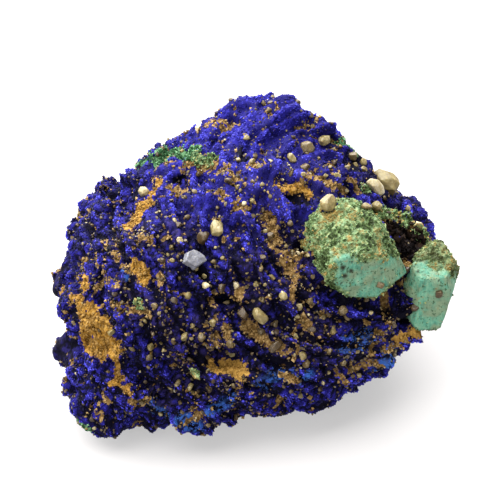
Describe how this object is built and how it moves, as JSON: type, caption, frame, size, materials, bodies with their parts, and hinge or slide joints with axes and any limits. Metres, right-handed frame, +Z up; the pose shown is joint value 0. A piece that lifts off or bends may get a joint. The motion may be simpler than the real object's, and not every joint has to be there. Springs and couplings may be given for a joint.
{
  "type": "azurite specimen",
  "caption": "Rough nodule of deep blue drusy azurite on ochre sandy matrix, about 50 mm wide, with two mint green malachite crystals and scattered quartz grains.",
  "frame": {"origin": "on the surface that the nodule rests on, under the middle of the specimen's bounding box", "axes": "+X to the specimen's right, along its longest side, with the malachite crystals at the right and front; -Y towards the front; +Z up, along its shortest side"},
  "size_m": [0.0504, 0.0434, 0.032],
  "materials": {
    "azurite": "fine sparkling deep blue crystal crust, with ochre sandy matrix showing through",
    "malachite": "dull mint green, fibrous, with tan crumbs",
    "quartz": "cloudy cream to tan translucent stone",
    "ochre_sand": "dull golden crumbly iron-stained sand"
  },
  "bodies": {
    "root": {"azurite_nodule": "azurite", "malachite_crystal_front": "malachite", "malachite_crystal_side": "malachite", "quartz_flake": "quartz", "quartz_grain_beside_rim": "quartz", "quartz_grain_by_malachite": "quartz", "quartz_grain_centre": "quartz", "quartz_grain_crown": "quartz", "quartz_grain_front": "quartz", "quartz_grain_left": "quartz", "quartz_grain_low": "quartz", "quartz_grain_on_rim": "quartz", "quartz_grain_right": "quartz", "quartz_grain_top": "quartz", "quartz_pebble_back": "quartz", "quartz_pebble_white": "quartz"}
  },
  "joints": []
}
